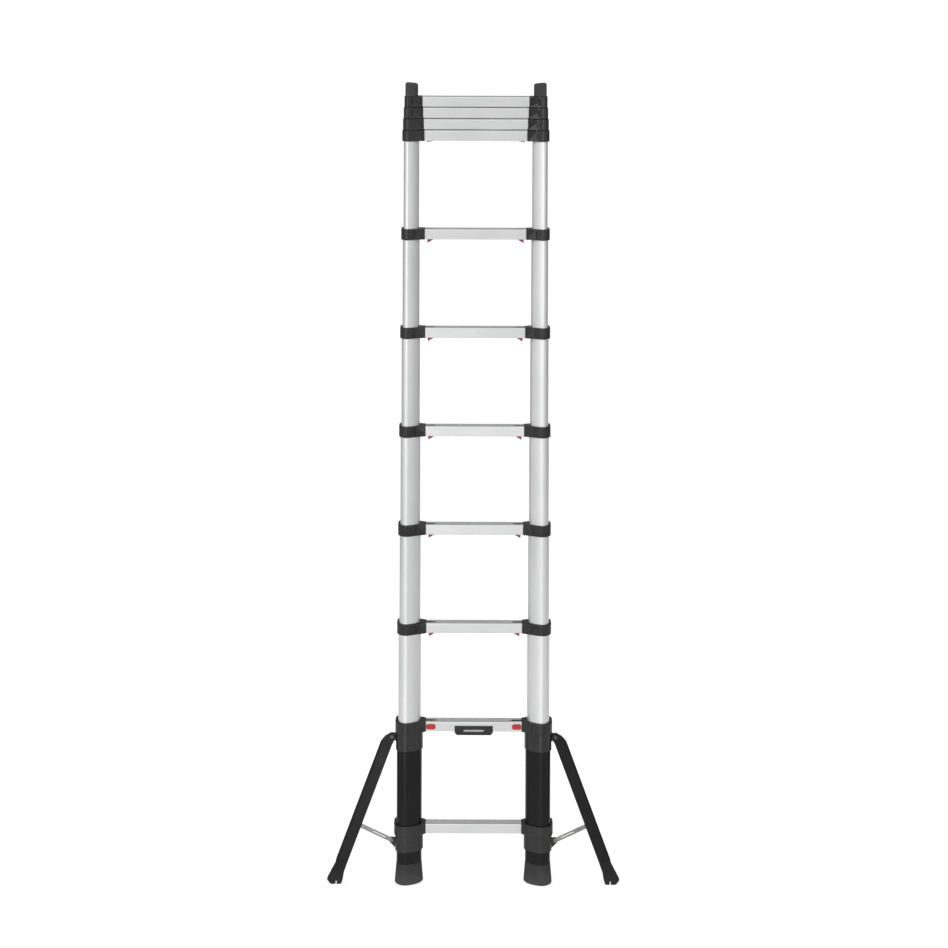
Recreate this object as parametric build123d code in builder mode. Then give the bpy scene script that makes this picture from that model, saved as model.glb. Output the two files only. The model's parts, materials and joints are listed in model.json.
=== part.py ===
"""Telescoping ladder with stabiliser legs: ten sliding sections, eleven rungs, side locks."""
import os
from math import cos, radians, sin, tan
from build123d import *

# reach of the cutting prisms past what they cut
SPAN = 800.0
COLLAR_SPAN = 60.0

# ladder layout
RUNG_1_Z = 172.0
RUNG_2_Z = 479.0
PITCH = 296.0
STACK = 34.0
SECTIONS = 10
LAST_EXTENDED = 7
TILT = 15.0

# stile tubes: a rounded triangle, its narrow corner toward the rung
OUTER_X = 205.0
INNER_X = 182.0
HALF_DEPTH = 12.0
BULGE_X = 192.7
BULGE_Y = 7.5
BASE_R = 26.0
BASE_WALL = 2.8
TUBE_R = 22.0
TUBE_STEP = 2.1
TUBE_WALL = 1.5
TUBE_LENGTH = 391.0
TUBE_TOP = 1.0
TOP_TUBE_RISE = 34.0
BASE_BOTTOM = 30.0

# rungs, in the tilted rung frame
RUNG_DEPTH = 36.0
RUNG_HEIGHT = 31.6
RUNG_WALL = 1.6
RUNG_CORNER = 3.0
GROOVES = 6
GROOVE_PITCH = 4.8
GROOVE_WIDTH = 1.6
GROOVE_DEPTH = 0.7
UNDER_SLOT = (-16.2, -7.8, -17.0, -13.0)
TREAD_SLOT = (-7.6, 3.3, 13.0, 17.0)
BUTTON_SLOT = (-20.0, -15.0, -5.5, 3.5)
BUTTON_SLOT_START = 14.7

# collars
COLLAR_RISE = 16.7
COLLAR_WALL = 5.0
LOWER_COLLAR_WALL = 8.0
SOCKET_REACH = 16.0
BASE_SOCKET_REACH = 12.0
SOCKET_HALF = 20.0
SOCKET_LENGTH = 26.0
TONGUE_LENGTH = 18.0
TONGUE_LOW = (-7.2, 16.3, -14.1, 5.0)
TONGUE_HIGH = (5.0, 16.3, 5.0, 14.1)
GUIDE_GAP = 0.35
COLLAR_ROUND = 2.5
LINK_INSET = 1.6
LINK_DROP = 0.8
LINK_MIDDLE = 8.0
LINK_LENGTH = 12.0
LINK_WIDTH = 32.0
SOCKET_ROUND = 2.5
PANEL_HALF = 9.5
PANEL_START = 3.0
PANEL_INSET = 36.5
SLOT_INSET = 22.0
SLOT_WIDTH = 6.0
MARK_DEPTH = 1.4
PLUG_FLANGE = 3.0
PLUG_SPIGOT = 9.0
PLUG_LIP = 0.3
PLUG_LIP_FIRST = 0.9

# locks
PIN_R = 3.5
BORE_R = 3.85
BORE_DEPTH = 2.5
PIN_DROP = 6.0
PIN_GAP = 0.4
TAB_START = 7.5
TAB_LENGTH = 17.0
TAB_DROP = 9.0
TAB_DROP_NESTED = 3.0
TAB_TIP = 3.0
TAB_FRONT = 8.2
TAB_DEPTH = 7.6
TAB_HIGH = -4.0
ARM_OUT = 20.5
ARM_IN = 25.5
ARM_BAR = (-15.4, 3.0, -9.6, -2.0)
ARM_RISE = (-15.4, -12.0, -5.0, 3.0)
ARM_STEM = (-18.4, -12.0, -5.0, 3.0)
STEM_START = 17.0
STEM_MARGIN = 1.5
TRAVEL_IN = 6.5
BUTTON_LENGTH = 27.0
BUTTON_HEIGHT = 15.0
BUTTON_ROUND = 5.0
BUTTON_GAP = 1.0
BUTTON_RECESS = 4.5
BUTTON_CLEAR = 0.6
BUTTON_BACK = 18.4
BUTTON_DEPTH = 3.6
BUTTON_STEP = 3.0
BUTTON_CROWN = 1.2

# feet and caps
FOOT_R = 32.0
FOOT_TAPER = 4.6
FOOT_LOW = -30.0
FOOT_HIGH = 100.0
FOOT_FRONT = HALF_DEPTH + FOOT_R
FOOT_SEAM_FRONT = 60.0
SOLE_ROUND = 5.0
FOOT_LEAN = 1 / cos(radians(FOOT_TAPER)) + tan(radians(FOOT_TAPER))
SOLE_LIFT = SOLE_ROUND * (FOOT_LEAN * tan(radians(TILT)) + 1 / cos(radians(TILT)) - 1)
CAP_WALL = 2.5
CAP_DOME = 7.0
CAP_RIBS = 4
CAP_RIB_PITCH = 6.5
CAP_RIB_START = 12.5
CAP_RIB_WIDTH = 1.6
CAP_RIB_DEPTH = 0.9
LADDER_TOP = 2412.0

# label plate: half width, half width of its lower edge, heights on the rung
PLATE_HALF = 57.5
PLATE_LOW_HALF = 50.5
PLATE_HIGH = 2.6
PLATE_BEND = -19.0
PLATE_LOW = -26.0
PLATE_DEPTH = 2.4

# stabilisers
PIVOT_X = 246.0
PIVOT_Z = 443.0
STRUT_Z = 131.5
LEG_ANGLE = 20.6
LEG_IN = -9.0
LEG_OUT = 27.0
LEG_HALF = 15.0
LEG_WALL = 2.0
LEG_TOP = 24.0
LEG_END = 400.0
LEG_CORNER = 8.0
LEG_PLUG = 26.0
KNUCKLE_R = 11.2
KNUCKLE_HALF = 14.5
KNUCKLE_BULGE = (7.5, -12.5)
KNUCKLE_BULGE_R = 14.0
HINGE_SLOT_MIDDLE = (-9, -3)
HINGE_SLOT_SIZE = (41, 46)
HINGE_SLOT_HALF = 6.6
LUG_R = 9.5
LUG_HALF = 6.0
LUG_ROOT = (-15, 0)
LUG_ROOT_SIZE = (8, 26)
STRUT_LUG_R = 9.0
STRUT_LUG_HALF = 4.0
STRUT_LUG_ROOT = (-14, -8)
STRUT_LUG_ROOT_SIZE = (8, 30)
STRUT_ANGLE = 25.0
STRUT_REACH = 107.0
STRUT_WIDTH = 13.0
STRUT_FRONT = -8.0
STRUT_BACK = -4.4
STRUT_SLOT_MIDDLE = 41.0
STRUT_SLOT_LENGTH = 40.0
STRUT_SLOT_WIDTH = 2.6
BOOT_LOW = [(390.5, 31), (393.8, 11), (397, 0), (429, 0), (441, 15), (430, 36), (415, 64)]
BOOT_HALF = 16.0
BOOT_ROUND = 7.0
BOOT_ROUND_BELOW = 20.0
CLEFT_X = 413.0
CLEFT_WIDTH = 5.0
CLEFT_TOP = 10.0
BOLT_R = 4.0
BOLT_CLEAR = 4.3
BOLT_HEAD_R = 7.0
BOLT_HEAD = 3.0
BOLT_GAP = 0.4
STRUT_PIN_FRONT = -8.4
STRUT_HEAD = 2.4
STRUT_HEAD_R = 5.5
STRUT_PIN_BACK = 6.2
STRUT_NUT = 2.2
STRUT_NUT_R = 6.0
SLEEVE_R = 29.0
LOWER_SLEEVE_R = 30.5
SLEEVE_LOW = 400.0
SLEEVE_HIGH = 466.0
LOWER_SLEEVE_LOW = 98.0
LOWER_SLEEVE_HIGH = 160.0

SIDES = {"left": -1, "right": 1}


def radius(k):
    """Corner radius of section k's tube."""
    return BASE_R if k == 1 else TUBE_R - TUBE_STEP * (k - 2)


def wall(k):
    return BASE_WALL if k == 1 else TUBE_WALL


def rung_z(r):
    """Height of rung r's centre at rest."""
    if r == 1:
        return RUNG_1_Z
    if r <= LAST_EXTENDED + 1:
        return RUNG_2_Z + PITCH * (r - 2)
    return rung_z(LAST_EXTENDED + 1) + STACK * (r - LAST_EXTENDED - 1)


def carrier(r):
    """Section that carries rung r."""
    return max(1, r - 1)


def rung_end(r):
    """Distance from the middle plane to the end of rung r."""
    reach = BASE_SOCKET_REACH if carrier(r) == 1 else SOCKET_REACH
    return INNER_X - radius(carrier(r)) - reach


def rung_plane(x, z):
    """Cross-section plane of a rung: local x runs back along the tread, local y up."""
    t = radians(TILT)
    return Plane(origin=(x, 0, z), x_dir=(0, cos(t), sin(t)), z_dir=(1, 0, 0))


def front_plane(x, z, depth):
    """Plane on the front of a rung, facing forward, depth behind the rung axis."""
    t = radians(TILT)
    origin = (x, depth * cos(t), z + depth * sin(t))
    return Plane(origin=origin, x_dir=(1, 0, 0), z_dir=(0, -cos(t), -sin(t)))


def leg_plane(side):
    """Plane of a stabiliser leg at rest: local x outboard across it, local y up along it."""
    a = radians(LEG_ANGLE)
    origin = (side * PIVOT_X, 0, PIVOT_Z)
    return Plane(origin=origin, x_dir=(side * cos(a), 0, sin(a)), z_dir=(0, -side, 0))


def leg_section(side, s):
    """Cross-section plane of a stabiliser leg at distance s down it: local x outboard."""
    a = radians(LEG_ANGLE)
    origin = (side * (PIVOT_X + s * sin(a)), 0, PIVOT_Z - s * cos(a))
    return Plane(origin=origin, x_dir=(side * cos(a), 0, sin(a)), z_dir=(side * sin(a), 0, -cos(a)))


def leg_face(r, inset, mode=Mode.ADD):
    """Leg outline with its two outboard corners rounded, inset all round."""
    v0 = LEG_IN + inset
    v1 = LEG_OUT - inset
    half = LEG_HALF - inset
    with BuildSketch(mode=Mode.PRIVATE) as outline:
        Polygon((v0, -half), (v1, -half), (v1, half), (v0, half), align=None)
        fillet(outline.vertices().sort_by(Axis.X)[-2:], r)
    add(outline.sketch_local, mode=mode)


def strut_plane(side):
    """Plane of a strut at rest: local x runs out along it."""
    a = radians(STRUT_ANGLE)
    origin = (side * PIVOT_X, (STRUT_FRONT + STRUT_BACK) / 2, STRUT_Z)
    return Plane(origin=origin, x_dir=(side * cos(a), 0, sin(a)), z_dir=(0, -side, 0))


def side_plane(side, z):
    """Upright plane at a stile's pivot line, local x outboard, local y up."""
    return Plane(origin=(side * PIVOT_X, 0, z), x_dir=(side, 0, 0), z_dir=(0, -side, 0))


def stile_face(side, r, mode=Mode.ADD):
    """Rounded triangular stile outline."""
    front = (side * OUTER_X, -HALF_DEPTH)
    back = (side * OUTER_X, HALF_DEPTH)
    apex = (side * INNER_X, 0)
    with BuildSketch(mode=Mode.PRIVATE) as outline:
        with BuildLine():
            Line(front, back)
            ThreePointArc(back, (side * BULGE_X, BULGE_Y), apex)
            ThreePointArc(apex, (side * BULGE_X, -BULGE_Y), front)
        make_face()
        offset(amount=r)
    add(outline.sketch_local, mode=mode)


def face_rise(face):
    """How squarely a face looks up: 1 is straight up, -1 straight down."""
    return face.normal_at().Z


def stile_prism(side, r, z0, z1, mode=Mode.ADD):
    with BuildSketch(Plane.XY.offset(z0)) as profile:
        stile_face(side, r)
    extrude(profile.sketch, amount=z1 - z0, mode=mode)


def stile_ring(side, r_out, r_in, z0, z1):
    with BuildSketch(Plane.XY.offset(z0)) as profile:
        stile_face(side, r_out)
        stile_face(side, r_in, mode=Mode.SUBTRACT)
    extrude(profile.sketch, amount=z1 - z0)


def collar_prism(side, r, socket, z0, z1, mode=Mode.ADD):
    """Stile outline drawn out smoothly toward the rung socket."""
    with BuildSketch(mode=Mode.PRIVATE) as outline:
        stile_face(side, r)
        with Locations((side * (socket + LINK_MIDDLE), 0)):
            Rectangle(LINK_LENGTH, LINK_WIDTH)
        make_hull()
    with BuildSketch(Plane.XY.offset(z0)) as profile:
        add(outline.sketch_local)
    extrude(profile.sketch, amount=z1 - z0, mode=mode)


def rung_bar(side, z, a, b, section, mode=Mode.ADD):
    """Bar along X in the tilted rung frame, from distance a to b off the middle plane."""
    y0, y1, z0, z1 = section
    with BuildSketch(rung_plane(a if side > 0 else -b, z)) as profile:
        with Locations(((y0 + y1) / 2, (z0 + z1) / 2)):
            Rectangle(y1 - y0, z1 - z0)
    extrude(profile.sketch, amount=b - a, mode=mode)


def tilted_slab(z, low, high, mode):
    """Slice across the whole ladder between two heights in the tilted rung frame."""
    with BuildSketch(rung_plane(-SPAN / 2, z)) as profile:
        with Locations((0, (low + high) / 2)):
            Rectangle(SPAN / 2, high - low)
    extrude(profile.sketch, amount=SPAN, mode=mode)


def pin_bar(side, a, b, z, r, mode=Mode.SUBTRACT):
    """Round bar or bore along X on the stile's middle plane."""
    with BuildSketch(Plane.YZ.offset(a if side > 0 else -b)) as profile:
        with Locations((0, z)):
            Circle(r)
    extrude(profile.sketch, amount=b - a, mode=mode)


def boot_corner(vertex):
    """Whether a corner of the boot's outline is rounded."""
    return vertex.Y < BOOT_ROUND_BELOW


def cut_beyond(y0, z0, angle, direction):
    """Remove everything above (+1) or below (-1) a line that rises toward the back."""
    rise = tan(radians(angle))
    reach = SPAN / 4
    near = (-reach, z0 + (-reach - y0) * rise)
    far = (reach, z0 + (reach - y0) * rise)
    limit = z0 + direction * SPAN / 2
    with BuildSketch(Plane.YZ.offset(-SPAN / 2)) as profile:
        Polygon(near, far, (reach, limit), (-reach, limit), align=None)
    extrude(profile.sketch, amount=SPAN, mode=Mode.SUBTRACT)


def add_socket(side, r, bored):
    """Rung socket block and the tongue inside the rung, bored for the lock pin."""
    z = rung_z(r)
    end = rung_end(r)
    half = COLLAR_RISE * cos(radians(TILT))
    x0 = end if side > 0 else -end - SOCKET_LENGTH
    with BuildSketch(rung_plane(x0, z)) as profile:
        RectangleRounded(2 * SOCKET_HALF, 2 * half, SOCKET_ROUND)
    extrude(profile.sketch, amount=SOCKET_LENGTH)
    rung_bar(side, z, end - TONGUE_LENGTH, end, TONGUE_LOW)
    rung_bar(side, z, end - TONGUE_LENGTH, end, TONGUE_HIGH)
    if bored:
        pin_bar(side, end - TONGUE_LENGTH - 5, INNER_X, z - PIN_DROP, BORE_R)


def collar_body(side, r, socket, z):
    """Solid collar tilted with its rung: a ring with rounded rims and a lower link to the socket."""
    half = COLLAR_RISE * cos(radians(TILT))
    with BuildPart() as link:
        collar_prism(side, r - LINK_INSET, socket, z - COLLAR_SPAN, z + COLLAR_SPAN)
        tilted_slab(z, LINK_DROP - half, half - LINK_DROP, Mode.INTERSECT)
    with BuildPart() as body:
        stile_prism(side, r, z - COLLAR_SPAN, z + COLLAR_SPAN)
        tilted_slab(z, -half, half, Mode.INTERSECT)
        rims = body.faces().sort_by(face_rise)
        fillet(rims[0].edges() + rims[-1].edges(), COLLAR_ROUND)
        add(link.part)
    return body


def collar_marks(side, r, socket, z):
    """The skin of a collar's ring where its panel and its corner slot are moulded in."""
    edge = OUTER_X + r
    start = socket + SOCKET_LENGTH + PANEL_START
    slot = edge - SLOT_INSET
    section = (-2 * FOOT_R, 2 * FOOT_R, -PANEL_HALF, PANEL_HALF)
    low = z - COLLAR_SPAN
    high = z + COLLAR_SPAN
    with BuildPart() as windows:
        rung_bar(side, z, start, edge - PANEL_INSET, section)
        rung_bar(side, z, slot - SLOT_WIDTH, slot, section)
    with BuildPart() as skin:
        stile_prism(side, r + MARK_DEPTH, low, high)
        stile_prism(side, r - MARK_DEPTH, low, high, mode=Mode.SUBTRACT)
        add(windows.part, mode=Mode.INTERSECT)
    return skin


def build_tubes(k):
    """Both stile tubes of section k, with lock holes."""
    top = rung_z(k + 1) + (TUBE_TOP if k < SECTIONS else TOP_TUBE_RISE)
    low = BASE_BOTTOM if k == 1 else rung_z(k + 1) + TUBE_TOP - TUBE_LENGTH
    apex = INNER_X - radius(k)
    holes = []
    if k < SECTIONS:
        holes.append(rung_z(k + 1) - PIN_DROP)
    if k > 1:
        holes.append(rung_z(k + 1) - PITCH - PIN_DROP)
        holes.append(rung_z(k + 1) - STACK - PIN_DROP)
    with BuildPart() as tubes:
        for side in (-1, 1):
            stile_ring(side, radius(k), radius(k) - wall(k), low, top)
            for z in holes:
                pin_bar(side, apex - BORE_R, apex + wall(k) + BORE_DEPTH, z, BORE_R)
    return tubes


def build_rung(r):
    """Grooved tubular rung with the slots its locks and the rung above need."""
    z = rung_z(r)
    end = rung_end(r)
    with BuildPart() as rung:
        with BuildSketch(rung_plane(-end, z)):
            RectangleRounded(RUNG_DEPTH, RUNG_HEIGHT, RUNG_CORNER)
            Rectangle(RUNG_DEPTH - 2 * RUNG_WALL, RUNG_HEIGHT - 2 * RUNG_WALL, mode=Mode.SUBTRACT)
            with Locations((0, RUNG_HEIGHT / 2)):
                with GridLocations(GROOVE_PITCH, 1, GROOVES, 1):
                    Rectangle(GROOVE_WIDTH, 2 * GROOVE_DEPTH, mode=Mode.SUBTRACT)
        extrude(amount=2 * end)
        for side in (-1, 1):
            if 3 <= r <= SECTIONS:
                a = end - TAB_START - TAB_LENGTH - TRAVEL_IN
                rung_bar(side, z, a, end, UNDER_SLOT, mode=Mode.SUBTRACT)
            if 2 <= r < SECTIONS:
                a = rung_end(r + 1) - TAB_START - TAB_LENGTH - TRAVEL_IN
                rung_bar(side, z, a, end, TREAD_SLOT, mode=Mode.SUBTRACT)
            if r == 2:
                a = end - ARM_OUT - STEM_MARGIN - TRAVEL_IN
                rung_bar(side, z, a, end - BUTTON_SLOT_START, BUTTON_SLOT, mode=Mode.SUBTRACT)
    return rung


def build_collars(r):
    """Collars of rung r on section r - 1, and the plugs in the bottom of its tubes."""
    k = carrier(r)
    z = rung_z(r)
    bottom = z + TUBE_TOP - TUBE_LENGTH
    outer = radius(k) + COLLAR_WALL
    marks = [collar_marks(side, outer, rung_end(r), z) for side in (-1, 1)]
    bodies = [collar_body(side, outer, rung_end(r), z) for side in (-1, 1)]
    with BuildPart() as collars:
        for body in bodies:
            add(body.part)
        for mark in marks:
            add(mark.part, mode=Mode.SUBTRACT)
        for side in (-1, 1):
            add_socket(side, r, bored=r <= SECTIONS)
            stile_prism(side, radius(k), z - COLLAR_SPAN, z + TUBE_TOP, mode=Mode.SUBTRACT)
            opening = radius(k + 1) + GUIDE_GAP if k < SECTIONS else radius(k)
            stile_prism(side, opening, z + TUBE_TOP, z + COLLAR_SPAN, mode=Mode.SUBTRACT)
            lip = PLUG_LIP_FIRST if k == 2 else PLUG_LIP
            stile_prism(side, radius(k) + lip, bottom - PLUG_FLANGE, bottom)
            stile_prism(side, radius(k) - TUBE_WALL, bottom, bottom + PLUG_SPIGOT)
    return collars


def build_upper_collars():
    """Rung 2 collars of the base section, with the sleeves and hinge lugs of the legs."""
    z = RUNG_2_Z
    outer = BASE_R + COLLAR_WALL
    end = rung_end(2)
    top = BUTTON_HEIGHT / 2 + BUTTON_CLEAR
    recess = (-2 * SOCKET_HALF, -RUNG_DEPTH / 2, -top, top)
    marks = [collar_marks(side, outer, end, z) for side in (-1, 1)]
    bodies = [collar_body(side, outer, end, z) for side in (-1, 1)]
    with BuildPart() as collars:
        for body in bodies:
            add(body.part)
        for mark in marks:
            add(mark.part, mode=Mode.SUBTRACT)
        for side in (-1, 1):
            add_socket(side, 2, bored=True)
            rung_bar(side, z, end - 1, end + BUTTON_RECESS, recess, mode=Mode.SUBTRACT)
            stile_prism(side, SLEEVE_R, SLEEVE_LOW - BASE_R, SLEEVE_HIGH)
            with BuildSketch(side_plane(side, PIVOT_Z)):
                Circle(LUG_R)
                with Locations(LUG_ROOT):
                    Rectangle(*LUG_ROOT_SIZE)
                make_hull()
            extrude(amount=LUG_HALF, both=True)
            stile_prism(side, BASE_R, z - 2 * COLLAR_SPAN, z + TUBE_TOP, mode=Mode.SUBTRACT)
            stile_prism(side, TUBE_R + GUIDE_GAP, z + TUBE_TOP, z + COLLAR_SPAN, mode=Mode.SUBTRACT)
            with BuildSketch(side_plane(side, PIVOT_Z)):
                Circle(BOLT_R)
            extrude(amount=2 * LUG_HALF, both=True, mode=Mode.SUBTRACT)
        cut_beyond(-HALF_DEPTH - SLEEVE_R, SLEEVE_LOW, TILT, -1)
    return collars


def build_lower_collars():
    """Rung 1 collars, with the sleeves that carry the strut lugs."""
    z = RUNG_1_Z
    outer = BASE_R + LOWER_COLLAR_WALL
    bodies = [collar_body(side, outer, rung_end(1), z) for side in (-1, 1)]
    with BuildPart() as collars:
        for body in bodies:
            add(body.part)
        for side in (-1, 1):
            add_socket(side, 1, bored=False)
            stile_prism(side, LOWER_SLEEVE_R, LOWER_SLEEVE_LOW - BASE_R, LOWER_SLEEVE_HIGH)
            with BuildSketch(side_plane(side, STRUT_Z)):
                Circle(STRUT_LUG_R)
                with Locations(STRUT_LUG_ROOT):
                    Rectangle(*STRUT_LUG_ROOT_SIZE)
                make_hull()
            extrude(amount=STRUT_LUG_HALF, both=True)
            stile_prism(side, BASE_R, z - 2 * COLLAR_SPAN, z + 2 * COLLAR_SPAN, mode=Mode.SUBTRACT)
            with BuildSketch(side_plane(side, STRUT_Z)):
                Circle(PIN_R)
            extrude(amount=2 * STRUT_LUG_HALF, both=True, mode=Mode.SUBTRACT)
        cut_beyond(-HALF_DEPTH - LOWER_SLEEVE_R, LOWER_SLEEVE_LOW, TILT, -1)
    return collars


def build_feet():
    """Flared rubber feet cut level for a leaning ladder."""
    low_r = FOOT_R - FOOT_LOW * tan(radians(FOOT_TAPER))
    with BuildPart() as feet:
        for side in (-1, 1):
            with BuildSketch(Plane.XY.offset(FOOT_LOW)) as profile:
                stile_face(side, low_r)
            extrude(profile.sketch, amount=FOOT_HIGH - FOOT_LOW, taper=FOOT_TAPER)
        cut_beyond(-FOOT_FRONT, -SOLE_LIFT, TILT, -1)
        soles = feet.faces().sort_by(face_rise)[:2]
        fillet(soles.edges(), SOLE_ROUND)
        cut_beyond(-FOOT_FRONT, FOOT_SEAM_FRONT, TILT, 1)
        for side in (-1, 1):
            stile_prism(side, BASE_R, BASE_BOTTOM, 2 * FOOT_HIGH, mode=Mode.SUBTRACT)
    return feet


def build_caps():
    """Ribbed rubber caps on the topmost tubes."""
    z = rung_z(SECTIONS + 1)
    r = radius(SECTIONS)
    half = COLLAR_RISE * cos(radians(TILT))
    with BuildPart() as caps:
        for side in (-1, 1):
            stile_prism(side, r + CAP_WALL, z - CAP_WALL, LADDER_TOP)
        crowns = caps.faces().sort_by(face_rise)[-2:]
        fillet(crowns.edges(), CAP_DOME)
        for side in (-1, 1):
            for i in range(CAP_RIBS):
                low = LADDER_TOP - CAP_RIB_START - CAP_RIB_PITCH * i
                with BuildSketch(Plane.XY.offset(low)):
                    stile_face(side, r + 2 * CAP_WALL)
                    stile_face(side, r + CAP_WALL - CAP_RIB_DEPTH, mode=Mode.SUBTRACT)
                extrude(amount=CAP_RIB_WIDTH, mode=Mode.SUBTRACT)
            stile_prism(side, r, z - COLLAR_SPAN, z + TOP_TUBE_RISE, mode=Mode.SUBTRACT)
        tilted_slab(z, -COLLAR_SPAN, half, Mode.SUBTRACT)
    return caps


def build_lock(r, side):
    """Lock pin of rung r with its red button (rung 2) or release wedge."""
    z = rung_z(r)
    end = rung_end(r)
    tip = INNER_X - radius(r) - PIN_GAP
    start = end - TAB_START
    inner = start - TAB_LENGTH
    with BuildPart() as lock:
        pin_bar(side, end - ARM_IN + 1, tip, z - PIN_DROP, PIN_R, mode=Mode.ADD)
        rung_bar(side, z, end - ARM_IN, end - ARM_OUT, ARM_BAR)
        if r == 2:
            rung_bar(side, z, end - ARM_OUT - STEM_MARGIN, end - STEM_START, ARM_STEM)
            rung_bar(side, z, end - ARM_IN, end - ARM_OUT, ARM_RISE)
            centre = end - BUTTON_GAP - BUTTON_LENGTH / 2
            with BuildSketch(front_plane(side * centre, z, -BUTTON_BACK)):
                RectangleRounded(BUTTON_LENGTH, BUTTON_HEIGHT, BUTTON_ROUND)
            extrude(amount=BUTTON_DEPTH)
            crown = (BUTTON_LENGTH - 2 * BUTTON_STEP, BUTTON_HEIGHT - 2 * BUTTON_STEP)
            with BuildSketch(front_plane(side * centre, z, -BUTTON_BACK - BUTTON_DEPTH)):
                RectangleRounded(*crown, BUTTON_STEP)
            extrude(amount=BUTTON_CROWN)
        else:
            drop = TAB_DROP if r <= LAST_EXTENDED else TAB_DROP_NESTED
            low = -RUNG_HEIGHT / 2 - drop
            with BuildSketch(front_plane(0, z, -TAB_FRONT)):
                Polygon(
                    (side * start, TAB_HIGH),
                    (side * inner, TAB_HIGH),
                    (side * inner, -RUNG_HEIGHT / 2 - 0.5),
                    (side * (start - TAB_TIP), low),
                    (side * start, low),
                    align=None,
                )
            extrude(amount=TAB_DEPTH)
    return lock


def build_label_plate():
    """Plain plate on the front of rung 2."""
    with BuildPart() as plate:
        with BuildSketch(front_plane(0, RUNG_2_Z, -RUNG_DEPTH / 2)):
            Polygon(
                (PLATE_HALF, PLATE_HIGH),
                (-PLATE_HALF, PLATE_HIGH),
                (-PLATE_HALF, PLATE_BEND),
                (-PLATE_LOW_HALF, PLATE_LOW),
                (PLATE_LOW_HALF, PLATE_LOW),
                (PLATE_HALF, PLATE_BEND),
                align=None,
            )
        extrude(amount=PLATE_DEPTH)
    return plate


def build_leg(side):
    """Channel leg, open toward the ladder, with its plastic knuckle."""
    with BuildPart() as channel:
        with BuildSketch(leg_section(side, LEG_TOP)):
            leg_face(LEG_CORNER, 0)
        extrude(amount=LEG_END - LEG_TOP)
        with BuildSketch(leg_section(side, LEG_TOP - 1)):
            leg_face(LEG_CORNER - LEG_WALL, LEG_WALL)
            with Locations((LEG_IN, 0)):
                Rectangle(4 * LEG_WALL, 2 * (LEG_HALF - LEG_WALL))
        extrude(amount=LEG_END, mode=Mode.SUBTRACT)
    with BuildPart() as knuckle:
        with BuildSketch(leg_plane(side)):
            Circle(KNUCKLE_R)
            with Locations(KNUCKLE_BULGE):
                Circle(KNUCKLE_BULGE_R)
            with Locations(((LEG_IN + LEG_OUT) / 2, -LEG_TOP + 0.5)):
                Rectangle(LEG_OUT - LEG_IN - 1, 1)
            make_hull()
        extrude(amount=KNUCKLE_HALF, both=True)
        with BuildSketch(leg_section(side, LEG_TOP - 2)):
            leg_face(LEG_CORNER - LEG_WALL, LEG_WALL)
        extrude(amount=LEG_PLUG + 2)
        with BuildSketch(leg_plane(side)):
            with Locations(HINGE_SLOT_MIDDLE):
                Rectangle(*HINGE_SLOT_SIZE)
        extrude(amount=HINGE_SLOT_HALF, both=True, mode=Mode.SUBTRACT)
        with BuildSketch(leg_plane(side)):
            Circle(BOLT_CLEAR)
        extrude(amount=LEG_HALF, both=True, mode=Mode.SUBTRACT)
    with BuildPart() as leg:
        add(channel.part)
        add(knuckle.part)
    return leg


def build_leg_foot(side):
    """Cleft rubber boot plugged into the end of a leg."""
    a = radians(LEG_ANGLE)
    top = []
    for v in (LEG_OUT, LEG_IN):
        x = PIVOT_X + LEG_END * sin(a) + v * cos(a)
        top.append((x, PIVOT_Z - LEG_END * cos(a) + v * sin(a)))
    with BuildPart() as boot:
        with BuildSketch(Plane.XZ) as profile:
            Polygon(*[(side * x, z) for x, z in top + BOOT_LOW], align=None)
            fillet(profile.vertices().filter_by(boot_corner), BOOT_ROUND)
            with Locations((side * CLEFT_X, CLEFT_TOP - 2 * CLEFT_WIDTH)):
                SlotOverall(4 * CLEFT_WIDTH, CLEFT_WIDTH, rotation=90, mode=Mode.SUBTRACT)
        extrude(amount=BOOT_HALF, both=True)
        with BuildSketch(leg_section(side, LEG_END - LEG_PLUG)):
            leg_face(LEG_CORNER - LEG_WALL, LEG_WALL)
        extrude(amount=LEG_PLUG + BOOT_ROUND)
    return boot


def build_strut(side):
    """Flat zinc strut between the base stile and the leg."""
    with BuildPart() as strut:
        with BuildSketch(strut_plane(side)):
            with Locations((STRUT_REACH / 2, 0)):
                SlotCenterToCenter(STRUT_REACH, STRUT_WIDTH)
            Circle(BORE_R, mode=Mode.SUBTRACT)
            with Locations((STRUT_SLOT_MIDDLE, 0)):
                SlotCenterToCenter(STRUT_SLOT_LENGTH, STRUT_SLOT_WIDTH, mode=Mode.SUBTRACT)
        extrude(amount=(STRUT_BACK - STRUT_FRONT) / 2, both=True)
    return strut


def build_pins():
    """Pivot bolts of the legs and struts, fixed in their lugs."""
    front = -LEG_HALF - BOLT_GAP
    discs = [
        (PIVOT_Z, front, -front - front, BOLT_R),
        (PIVOT_Z, front - BOLT_HEAD, BOLT_HEAD, BOLT_HEAD_R),
        (PIVOT_Z, -front, BOLT_HEAD, BOLT_HEAD_R),
        (STRUT_Z, STRUT_PIN_FRONT, STRUT_PIN_BACK - STRUT_PIN_FRONT, PIN_R),
        (STRUT_Z, STRUT_PIN_FRONT - STRUT_HEAD, STRUT_HEAD, STRUT_HEAD_R),
        (STRUT_Z, STRUT_PIN_BACK - STRUT_NUT, STRUT_NUT, STRUT_NUT_R),
    ]
    with BuildPart() as pins:
        for side in (-1, 1):
            for z, y, length, r in discs:
                with BuildSketch(Plane.XZ.offset(-y)):
                    with Locations((side * PIVOT_X, z)):
                        Circle(r)
                extrude(amount=-length)
    return pins


def save(piece, name):
    piece.part.label = name
    export_step(piece.part, "parts/" + name + ".step")


os.makedirs("parts", exist_ok=True)

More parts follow.
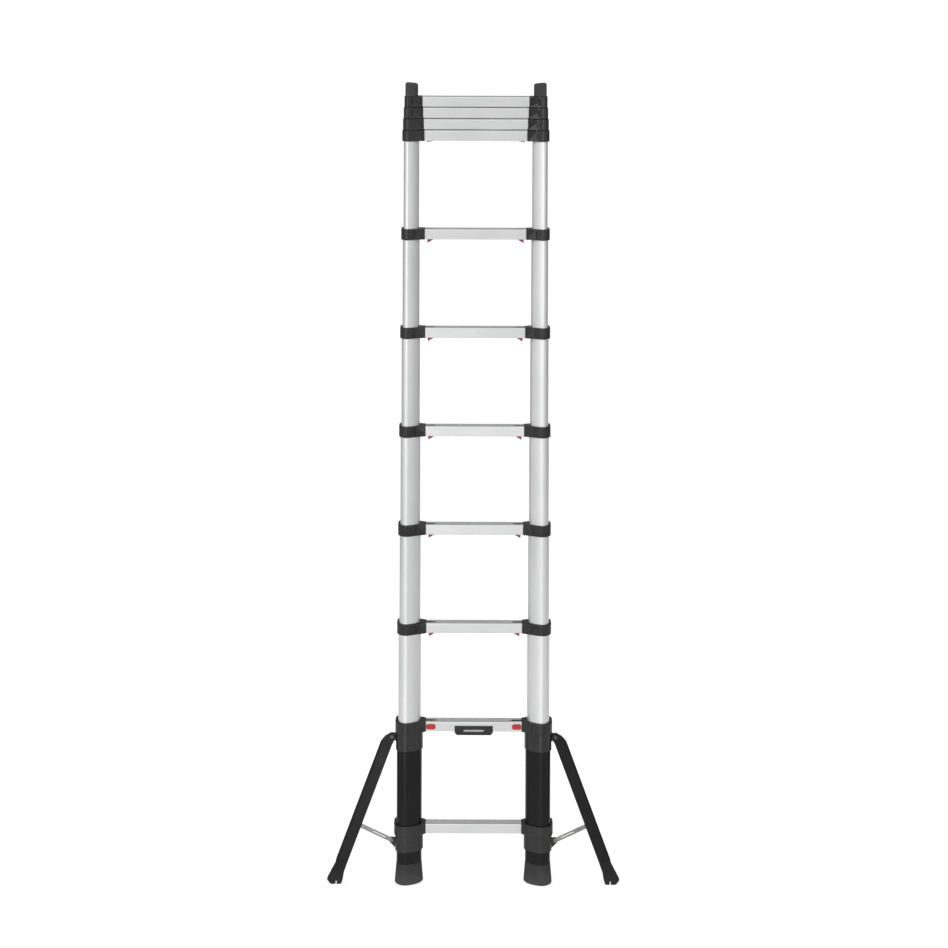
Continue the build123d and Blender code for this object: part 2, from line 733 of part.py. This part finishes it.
save(build_tubes(1), "base_stiles")
for section in range(2, SECTIONS + 1):
    save(build_tubes(section), f"stiles_{section:02d}")
for number in range(1, SECTIONS + 2):
    save(build_rung(number), f"rung_{number:02d}")
for number in range(3, SECTIONS + 2):
    save(build_collars(number), f"collars_{number:02d}")
save(build_upper_collars(), "upper_collars")
save(build_lower_collars(), "lower_collars")
save(build_feet(), "base_feet")
save(build_caps(), "top_caps")
save(build_label_plate(), "label_plate")
save(build_pins(), "stabiliser_pins")
for name, side in SIDES.items():
    for number in range(2, SECTIONS + 1):
        save(build_lock(number, side), f"lock_{number:02d}_{name}")
    save(build_leg(side), "stabiliser_leg_" + name)
    save(build_leg_foot(side), "stabiliser_foot_" + name)
    save(build_strut(side), "strut_" + name)
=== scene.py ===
"""Looks, stage, light and camera for the telescoping ladder."""
import json
from math import cos, pi, radians, sin

import bpy
from mathutils import Matrix, Vector


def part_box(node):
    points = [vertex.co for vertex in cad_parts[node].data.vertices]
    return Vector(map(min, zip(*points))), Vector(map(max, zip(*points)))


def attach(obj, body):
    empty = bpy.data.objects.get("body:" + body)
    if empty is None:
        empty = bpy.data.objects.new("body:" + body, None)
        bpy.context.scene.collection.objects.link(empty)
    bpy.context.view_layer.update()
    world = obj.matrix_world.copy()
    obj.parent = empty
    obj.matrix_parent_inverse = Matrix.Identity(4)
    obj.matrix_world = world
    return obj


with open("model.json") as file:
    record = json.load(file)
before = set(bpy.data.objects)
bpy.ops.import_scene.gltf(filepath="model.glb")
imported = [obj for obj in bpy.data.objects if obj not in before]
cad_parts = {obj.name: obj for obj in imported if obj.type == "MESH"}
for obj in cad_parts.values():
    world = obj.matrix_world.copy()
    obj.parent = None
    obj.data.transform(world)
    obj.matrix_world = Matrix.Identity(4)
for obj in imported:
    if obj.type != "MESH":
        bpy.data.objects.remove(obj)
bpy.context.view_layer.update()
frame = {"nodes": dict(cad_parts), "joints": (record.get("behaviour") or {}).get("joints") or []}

# studio, in metres and watts
CAMERA_X = -0.002
CAMERA_DISTANCE = 6.5
CAMERA_HEIGHT = 1.25
AIM_HEIGHT = 1.2345
LENS = 81.9
SENSOR = 36.0
ROLL = radians(0.21)
FLOOR_REACH = 40.0
FLOOR_SIDES = 24
FLOOR_GLOW_FAR = 0.12
FLOOR_GLOW_NEAR = 0.38
FLOOR_GLOW_SEEN = 0.72
FAR_Y = -6.5
NEAR_Y = -1.0
ROOM_BRIGHTEST = Vector((-0.22, -0.97, 0.05)).normalized()
ROOM_DIM = 0.24
ROOM_BRIGHT = 0.93
ROOM_SEEN = 1.05
KEY_PLACE = (-1.3, -5.0, 2.6)
KEY_TARGET = (0, 0, 1.2)
KEY_SIZE = (1.8, 2.6)
KEY_POWER = 20
LOW_PLACE = (-0.5, -2.4, 0.13)
LOW_TARGET = (0, 0, 0.25)
LOW_SIZE = (0.4, 0.2)
LOW_POWER = 1.6

# ladder, in metres
TILT = radians(15)
LAST_EXTENDED = 7
BUTTON_SIZE = (0.025, 0.0132)
BUTTON_RISE = 0.0022
BUTTON_DISH = 0.0006
BUTTON_INSET = 0.0135
BUTTON_AHEAD = 0.0228
PLATE_SIZE = (0.106, 0.024)
PLATE_RISE = 0.0012
PLATE_AHEAD = 0.0202
BAR_SIZE = (0.062, 0.0065)
BAR_RISE = 0.0006
BAR_AHEAD = 0.0009
FLAT_DISH = 0.0001
LEG_BOLT_RADIUS = 0.0042
LEG_BOLT_RISE = 0.0022
STRUT_BOLT_RADIUS = 0.0052
STRUT_BOLT_RISE = 0.002
STRUT_HEAD_FRONT = -0.0108
PLATED_BELOW_Z = 0.29
BLACKENED_ABOVE_Z = 0.31
DUST_HEIGHT = 0.05

# points around a loop, and how far a piece sinks into what it sits on
PAD_POINTS = 72
ROUND_POINTS = 48
PAD_ROOT = -0.0006
BOLT_ROOT = -0.0004


# ---------------------------------------------------------------- materials
class Nodes:
    """Short names for building one node tree."""

    def __init__(self, name):
        self.material = bpy.data.materials.new(name)
        self.material.use_nodes = True
        self.tree = self.material.node_tree
        self.shader = self.tree.nodes["Principled BSDF"]
        self.coords = self.add("ShaderNodeTexCoord").outputs["Object"]

    def add(self, kind, **settings):
        node = self.tree.nodes.new(kind)
        for key, value in settings.items():
            setattr(node, key, value)
        return node

    def link(self, output, socket):
        self.tree.links.new(output, socket)

    def scaled(self, scale):
        """Object coordinates in metres, multiplied along each axis."""
        node = self.add("ShaderNodeMapping")
        node.inputs["Scale"].default_value = scale
        self.link(self.coords, node.inputs["Vector"])
        return node.outputs["Vector"]

    def noise(self, scale, detail=3.0, roughness=0.5, stretch=(1, 1, 1)):
        node = self.add("ShaderNodeTexNoise")
        node.inputs["Scale"].default_value = scale
        node.inputs["Detail"].default_value = detail
        node.inputs["Roughness"].default_value = roughness
        self.link(self.scaled(stretch), node.inputs["Vector"])
        return node.outputs["Fac"]

    def ramp(self, value, stops):
        """Colour ramp through (position, colour) stops."""
        node = self.add("ShaderNodeValToRGB")
        elements = node.color_ramp.elements
        while len(elements) < len(stops):
            elements.new(0.5)
        for element, (position, colour) in zip(elements, stops):
            element.position = position
            element.color = (*colour, 1)
        self.link(value, node.inputs["Fac"])
        return node.outputs["Color"]

    def spread(self, value, low, high, from_low=0.3, from_high=0.7):
        """A value taken from one range to another, clamped at both ends."""
        node = self.add("ShaderNodeMapRange")
        node.inputs["From Min"].default_value = from_low
        node.inputs["From Max"].default_value = from_high
        node.inputs["To Min"].default_value = low
        node.inputs["To Max"].default_value = high
        self.link(value, node.inputs["Value"])
        return node.outputs["Result"]

    def bump(self, height, distance, normal):
        """Relief of a height in metres over a normal."""
        node = self.add("ShaderNodeBump")
        node.inputs["Distance"].default_value = distance
        node.inputs["Strength"].default_value = 1.0
        self.link(height, node.inputs["Height"])
        self.link(normal, node.inputs["Normal"])
        return node.outputs["Normal"]

    def rounded_edges(self, radius):
        """Normal that rounds the edges by a radius in metres."""
        node = self.add("ShaderNodeBevel", samples=6)
        node.inputs["Radius"].default_value = radius
        return node.outputs["Normal"]

    def along(self, axis, low, high):
        """0 before one place along an axis of the object, 1 past the other."""
        node = self.add("ShaderNodeSeparateXYZ")
        self.link(self.coords, node.inputs["Vector"])
        return self.spread(node.outputs[axis], 0.0, 1.0, low, high)

    def blend(self, amount, first, second):
        """Mix of two colours, each a colour output or a plain colour."""
        node = self.add("ShaderNodeMix", data_type="RGBA")
        self.link(amount, node.inputs["Factor"])
        for name, colour in (("A", first), ("B", second)):
            socket = [i for i in node.inputs if i.name == name and i.type == "RGBA"][0]
            if isinstance(colour, tuple):
                socket.default_value = (*colour, 1)
            else:
                self.link(colour, socket)
        return [o for o in node.outputs if o.type == "RGBA"][0]

    def scratches(self, stretch, amount):
        """Sparse fine marks: the thin crests of a stretched noise."""
        marks = self.noise(1.0, detail=2.0, roughness=0.4, stretch=stretch)
        return self.spread(marks, 0.0, amount, 0.66, 0.74)

    def set(self, name, value):
        self.shader.inputs[name].default_value = value

    def feed(self, name, output):
        self.link(output, self.shader.inputs[name])


def grey(value):
    return (value, value, value)


def anodised_aluminium(name, grain, rub):
    """Satin anodised extrusion: fine die lines along its length and faint rub marks."""
    n = Nodes(name)
    n.set("Metallic", 1.0)
    n.set("IOR", 1.45)
    lines = n.noise(1.0, detail=4.0, roughness=0.7, stretch=grain)
    patches = n.noise(9.0, detail=3.0)
    tone = n.ramp(patches, [(0.3, (0.80, 0.805, 0.81)), (0.7, (0.86, 0.862, 0.865))])
    marks = n.scratches(rub, 0.2)
    n.feed("Base Color", n.blend(marks, tone, (0.62, 0.62, 0.625)))
    n.feed("Roughness", n.spread(lines, 0.34, 0.46))
    relief = n.bump(lines, 0.00006, n.rounded_edges(0.0008))
    n.feed("Normal", n.bump(marks, 0.00003, relief))
    return n.material


def powder_coat(name, dark, light, shine):
    """Black coating with a faint orange peel and a few grey scuffs."""
    n = Nodes(name)
    peel = n.noise(900.0, detail=2.0)
    clouds = n.noise(14.0, detail=4.0)
    scuffs = n.scratches((160, 160, 22), 0.25)
    tone = n.ramp(clouds, [(0.3, grey(dark)), (0.7, grey(light))])
    n.feed("Base Color", n.blend(scuffs, tone, grey(5 * light)))
    n.set("Specular IOR Level", shine)
    n.feed("Roughness", n.spread(clouds, 0.26, 0.36))
    n.feed("Normal", n.bump(peel, 0.0001, n.rounded_edges(0.0008)))
    return n.material


def moulded_plastic(name, dark, light, roughness=0.5):
    """Moulded plastic with a fine spark eroded grain."""
    n = Nodes(name)
    grain = n.noise(1500.0, detail=2.0)
    clouds = n.noise(22.0, detail=4.0)
    n.feed("Base Color", n.ramp(clouds, [(0.3, dark), (0.7, light)]))
    n.feed("Roughness", n.spread(clouds, roughness - 0.07, roughness + 0.07))
    n.feed("Normal", n.bump(grain, 0.00008, n.rounded_edges(0.001)))
    return n.material


def rubber(name, dark, light):
    """Matte rubber, dustier toward the ground."""
    n = Nodes(name)
    grain = n.noise(700.0, detail=4.0)
    dust = n.noise(30.0, detail=5.0, roughness=0.6)
    tone = n.ramp(dust, [(0.35, grey(dark)), (0.7, grey(light))])
    dusted = n.ramp(dust, [(0.3, grey(1.2 * light)), (0.7, grey(1.7 * light))])
    n.feed("Base Color", n.blend(n.along("Z", 0.0, DUST_HEIGHT), dusted, tone))
    n.feed("Roughness", n.spread(dust, 0.72, 0.88))
    n.set("Specular IOR Level", 0.35)
    n.feed("Normal", n.bump(grain, 0.00015, n.rounded_edges(0.0015)))
    return n.material


def zinc(name, dark, light):
    """Zinc plated steel with a fine spangle."""
    n = Nodes(name)
    n.set("Metallic", 1.0)
    spangle = n.add("ShaderNodeTexVoronoi")
    spangle.inputs["Scale"].default_value = 350.0
    n.link(n.coords, spangle.inputs["Vector"])
    clouds = n.noise(40.0, detail=4.0)
    n.feed("Base Color", n.ramp(clouds, [(0.3, dark), (0.7, light)]))
    n.feed("Roughness", n.spread(spangle.outputs["Distance"], 0.3, 0.5, 0.0, 1.0))
    n.feed("Normal", n.rounded_edges(0.0006))
    return n.material


def pin_steel(name):
    """Blackened leg bolts above, zinc plated strut pins below."""
    n = Nodes(name)
    clouds = n.noise(60.0, detail=4.0)
    upper = n.along("Z", PLATED_BELOW_Z, BLACKENED_ABOVE_Z)
    plated = n.ramp(clouds, [(0.3, (0.30, 0.30, 0.29)), (0.7, (0.40, 0.40, 0.39))])
    n.feed("Base Color", n.blend(upper, plated, grey(0.03)))
    n.feed("Metallic", n.spread(upper, 1.0, 0.0, 0.0, 1.0))
    n.feed("Roughness", n.spread(clouds, 0.32, 0.46))
    n.feed("Normal", n.bump(clouds, 0.00004, n.rounded_edges(0.0006)))
    return n.material


# noise scales along X, Y and Z: fine across the extrusion and long along it
UP_GRAIN = (2600, 2600, 4)
ACROSS_GRAIN = (4, 2600, 2600)
UP_RUB = (30, 30, 5)
ACROSS_RUB = (9, 90, 90)

materials = {
    "stiles": anodised_aluminium("anodised_stile", UP_GRAIN, UP_RUB),
    "rungs": anodised_aluminium("anodised_rung", ACROSS_GRAIN, ACROSS_RUB),
    "base": powder_coat("black_coated_stile", 0.002, 0.004, 0.28),
    "leg": powder_coat("black_coated_leg", 0.002, 0.005, 0.3),
    "plastic": moulded_plastic("black_nylon", grey(0.011), grey(0.02), 0.25),
    "red": moulded_plastic("red_plastic", (0.5, 0.02, 0.02), (0.6, 0.035, 0.03), 0.4),
    "button": moulded_plastic("red_button", (0.52, 0.022, 0.022), (0.6, 0.035, 0.03), 0.3),
    # painted shade: the lock's red plastic made darker on the wedges of rungs 3 to 7, for the
    # shadow under the rung
    "wedge": moulded_plastic("red_wedge_painted_shade", (0.3, 0.035, 0.06), (0.38, 0.05, 0.08), 0.45),
    "nested": moulded_plastic("grey_wedge", grey(0.2), grey(0.26)),
    "plate": moulded_plastic("black_plate", grey(0.012), grey(0.02), 0.35),
    "bar": moulded_plastic("light_bar", grey(0.42), grey(0.52), 0.45),
    "feet": rubber("grey_rubber", 0.034, 0.05),
    "boots": rubber("black_rubber", 0.009, 0.017),
    "caps": rubber("cap_rubber", 0.06, 0.09),
    "zinc": zinc("zinc_plate", (0.26, 0.26, 0.25), (0.36, 0.36, 0.345)),
    "pins": pin_steel("pin_steel"),
    "bolt": zinc("dark_bolt_steel", (0.16, 0.16, 0.155), (0.24, 0.24, 0.235)),
}


def lock_look(number):
    """The look of the lock on one rung: the wedges of the extended rungs are red darkened as
    painted shade.
    """
    if number == 2:
        return materials["red"]
    return materials["wedge"] if number <= LAST_EXTENDED else materials["nested"]


def material_of(node):
    """The look of a CAD node, by its name."""
    if node.startswith("lock_"):
        return lock_look(int(node.split("_")[1]))
    looks = {
        "stiles_": "stiles",
        "rung_": "rungs",
        "strut_": "zinc",
        "stabiliser_pins": "pins",
        "stabiliser_leg": "leg",
        "stabiliser_foot": "boots",
        "top_caps": "caps",
        "base_feet": "feet",
        "base_stiles": "base",
        "label_plate": "plate",
    }
    for start, look in looks.items():
        if node.startswith(start):
            return materials[look]
    return materials["plastic"]


for name, node in frame["nodes"].items():
    node.data.materials.clear()
    node.data.materials.append(material_of(name))


# ---------------------------------------------------------------- detail pieces
def middle(node):
    """Centre of a CAD node's box."""
    low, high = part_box(node)
    return (Vector(low) + Vector(high)) / 2


def rung_front(x, centre, ahead):
    """Axes on the tilted front of a rung: right, up the face and out of it."""
    out = Vector((0, -cos(TILT), -sin(TILT)))
    up = Vector((0, -sin(TILT), cos(TILT)))
    place = Vector((x, centre.y, centre.z)) + ahead * out
    turn = Matrix((Vector((1, 0, 0)), up, out)).transposed().to_4x4()
    return Matrix.Translation(place) @ turn


def facing(place, direction):
    """Axes on a bolt's end that faces along Y."""
    turn = Vector((0, direction, 0)).to_track_quat("Z", "X").to_matrix().to_4x4()
    return Matrix.Translation(place) @ turn


def lofted(name, loops, axes, material, body):
    """Closed skin over a stack of loops with the same number of points."""
    points = [axes @ Vector(p) for loop in loops for p in loop]
    count = len(loops[0])
    faces = [list(range(count))[::-1]]
    for ring in range(len(loops) - 1):
        for i in range(count):
            a = ring * count + i
            b = ring * count + (i + 1) % count
            faces.append([a, b, b + count, a + count])
    faces.append([(len(loops) - 1) * count + i for i in range(count)])
    mesh = bpy.data.meshes.new(name)
    mesh.from_pydata(points, [], faces)
    mesh.shade_smooth()
    mesh.materials.append(material)
    piece = bpy.data.objects.new(name, mesh)
    bpy.context.scene.collection.objects.link(piece)
    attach(piece, body)


def rounded_box(size, height, power=5.0):
    """Loop of a superellipse, square with round corners."""
    loop = []
    for i in range(PAD_POINTS):
        a = 2 * pi * i / PAD_POINTS
        c, s = cos(a), sin(a)
        reach = (abs(c) ** power + abs(s) ** power) ** (-1 / power)
        loop.append((size[0] / 2 * reach * c, size[1] / 2 * reach * s, height))
    return loop


def round_loop(radius, height, count=ROUND_POINTS):
    """Circle of points at a height."""
    turns = [2 * pi * i / count for i in range(count)]
    return [(radius * cos(a), radius * sin(a), height) for a in turns]


def hexagon(radius, height):
    """Hexagonal loop with as many points as a round one."""
    loop = []
    for i in range(ROUND_POINTS):
        a = 2 * pi * i / ROUND_POINTS
        reach = radius * cos(pi / 6) / cos(a % (pi / 3) - pi / 6)
        loop.append((reach * cos(a), reach * sin(a), height))
    return loop


def pillow(name, size, rise, dish, axes, material, body):
    """Pad with a rolled rim and a shallow dish in its middle."""
    loops = [rounded_box(size, PAD_ROOT), rounded_box(size, 0.3 * rise)]
    for i in range(1, 7):
        a = i * pi / 12
        inset = 2 * rise * (1 - cos(a))
        rolled = (size[0] - inset, size[1] - inset)
        loops.append(rounded_box(rolled, rise * (0.3 + 0.7 * sin(a))))
    inner = (size[0] - 3.2 * rise, size[1] - 3.2 * rise)
    loops.append(rounded_box(inner, rise, 3.5))
    loops.append(rounded_box((0.75 * inner[0], 0.75 * inner[1]), rise - 0.6 * dish, 3.0))
    loops.append(rounded_box((0.3 * inner[0], 0.3 * inner[1]), rise - dish, 2.5))
    lofted(name, loops, axes, material, body)


def socket_bolt(name, radius, rise, axes, material, body):
    """Domed bolt head with a hexagonal socket."""
    loops = [round_loop(radius, BOLT_ROOT), round_loop(radius, 0.15 * rise)]
    for i in range(1, 6):
        a = i * pi / 12
        reach = radius * (0.45 + 0.55 * cos(a))
        loops.append(round_loop(reach, rise * (0.15 + 0.85 * sin(a))))
    loops.append(round_loop(0.5 * radius, rise))
    loops.append(hexagon(0.46 * radius, 0.95 * rise))
    loops.append(hexagon(0.44 * radius, 0.2 * rise))
    lofted(name, loops, axes, material, body)


def button_pads():
    """Red pads over the two release buttons in the front of rung 2."""
    centre = middle("rung_02")
    for name, side in (("left", -1), ("right", 1)):
        low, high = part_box("lock_02_" + name)
        inner = min(abs(low[0]), abs(high[0]))
        axes = rung_front(side * (inner + BUTTON_INSET), centre, BUTTON_AHEAD)
        pillow(
            "button_pad_" + name, BUTTON_SIZE, BUTTON_RISE, BUTTON_DISH, axes,
            materials["button"], "lock_02_" + name,
        )


def plate_face():
    """Face of the label plate, with a plain light bar in place of any marking."""
    centre = middle("rung_02")
    low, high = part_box("label_plate")
    drop = (low[2] + high[2]) / 2 - centre.z
    down = (drop + PLATE_AHEAD * sin(TILT)) / cos(TILT)
    axes = rung_front(0, centre, PLATE_AHEAD) @ Matrix.Translation((0, down, 0))
    pillow(
        "plate_face", PLATE_SIZE, PLATE_RISE, FLAT_DISH, axes,
        materials["plate"], "base",
    )
    bar = axes @ Matrix.Translation((0, 0, BAR_AHEAD))
    pillow(
        "plate_bar", BAR_SIZE, BAR_RISE, FLAT_DISH, bar,
        materials["bar"], "base",
    )


def bolts():
    """Heads over the ends of the leg bolts and the strut pins."""
    low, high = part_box("stabiliser_pins")
    joints = [joint for joint in frame["joints"] if "pos_m" in joint]
    pivots = {joint["name"]: Vector(joint["pos_m"]) for joint in joints}
    for name in ("left", "right"):
        leg = pivots["fold_leg_" + name]
        strut = pivots["fold_strut_" + name]
        front = facing((leg.x, low[1], leg.z), -1)
        back = facing((leg.x, high[1], leg.z), 1)
        for end, axes in (("front", front), ("back", back)):
            socket_bolt(
                "leg_bolt_" + end + "_" + name, LEG_BOLT_RADIUS, LEG_BOLT_RISE, axes,
                materials["bolt"], "base",
            )
        cap = facing((strut.x, STRUT_HEAD_FRONT, strut.z), -1)
        socket_bolt(
            "strut_bolt_" + name, STRUT_BOLT_RADIUS, STRUT_BOLT_RISE, cap,
            materials["zinc"], "base",
        )


# ---------------------------------------------------------------- studio
def studio_floor():
    """Wide pale floor that glows: least far in front of the ladder, most to the camera itself."""
    rim = round_loop(FLOOR_REACH, 0, FLOOR_SIDES)
    mesh = bpy.data.meshes.new("studio_floor")
    mesh.from_pydata(rim, [], [list(range(FLOOR_SIDES))])
    floor = bpy.data.objects.new("studio_floor", mesh)
    bpy.context.scene.collection.objects.link(floor)
    n = Nodes("studio_paint")
    n.feed("Base Color", n.ramp(n.noise(2.0), [(0.3, grey(0.86)), (0.7, grey(0.88))]))
    n.set("Roughness", 0.95)
    n.set("Emission Color", (1, 1, 1, 1))
    toward = n.along("Y", FAR_Y, NEAR_Y)
    near = n.spread(toward, FLOOR_GLOW_FAR, FLOOR_GLOW_NEAR, 0.0, 1.0)
    glow = n.add("ShaderNodeMix", data_type="FLOAT")
    n.link(n.add("ShaderNodeLightPath").outputs["Is Camera Ray"], glow.inputs["Factor"])
    n.link(near, glow.inputs["A"])
    glow.inputs["B"].default_value = FLOOR_GLOW_SEEN
    n.feed("Emission Strength", glow.outputs["Result"])
    mesh.materials.append(n.material)


def area_light(name, place, target, size, power):
    """Rectangular light at a place, turned to a target."""
    data = bpy.data.lights.new(name, "AREA")
    data.shape = "RECTANGLE"
    data.size, data.size_y = size
    data.energy = power
    light = bpy.data.objects.new(name, data)
    light.location = place
    aim = Vector(target) - Vector(place)
    light.rotation_euler = aim.to_track_quat("-Z", "Y").to_euler()
    bpy.context.scene.collection.objects.link(light)


def studio_lights():
    """A white room, brightest behind the camera, dim behind the ladder, white where it is seen."""
    world = bpy.data.worlds.new("studio")
    world.use_nodes = True
    bpy.context.scene.world = world
    tree = world.node_tree
    background = tree.nodes["Background"]
    background.inputs["Color"].default_value = (1, 1, 1, 1)
    direction = tree.nodes.new("ShaderNodeTexCoord").outputs["Generated"]
    toward = tree.nodes.new("ShaderNodeVectorMath")
    toward.operation = "DOT_PRODUCT"
    toward.inputs[1].default_value = ROOM_BRIGHTEST
    tree.links.new(direction, toward.inputs[0])
    glow = tree.nodes.new("ShaderNodeMapRange")
    glow.interpolation_type = "SMOOTHSTEP"
    glow.inputs["From Min"].default_value = -0.3
    glow.inputs["From Max"].default_value = 1.0
    glow.inputs["To Min"].default_value = ROOM_DIM
    glow.inputs["To Max"].default_value = ROOM_BRIGHT
    tree.links.new(toward.outputs["Value"], glow.inputs["Value"])
    seen = tree.nodes.new("ShaderNodeMix")
    seen.data_type = "FLOAT"
    camera_ray = tree.nodes.new("ShaderNodeLightPath").outputs["Is Camera Ray"]
    tree.links.new(camera_ray, seen.inputs["Factor"])
    tree.links.new(glow.outputs["Result"], seen.inputs["A"])
    seen.inputs["B"].default_value = ROOM_SEEN
    tree.links.new(seen.outputs["Result"], background.inputs["Strength"])
    area_light("key", KEY_PLACE, KEY_TARGET, KEY_SIZE, KEY_POWER)
    area_light("low_strip", LOW_PLACE, LOW_TARGET, LOW_SIZE, LOW_POWER)


def camera():
    data = bpy.data.cameras.new("camera")
    data.sensor_width = SENSOR
    data.lens = LENS
    data.dof.use_dof = False
    eye = Vector((CAMERA_X, -CAMERA_DISTANCE, CAMERA_HEIGHT))
    aim = Vector((CAMERA_X, 0, AIM_HEIGHT))
    rig = bpy.data.objects.new("camera", data)
    turn = (aim - eye).to_track_quat("-Z", "Y").to_matrix().to_4x4()
    rig.matrix_world = Matrix.Translation(eye) @ turn @ Matrix.Rotation(ROLL, 4, "Z")
    bpy.context.scene.collection.objects.link(rig)
    bpy.context.scene.camera = rig


button_pads()
plate_face()
bolts()

bpy.context.scene.view_settings.view_transform = "Standard"
studio_floor()
studio_lights()
camera()
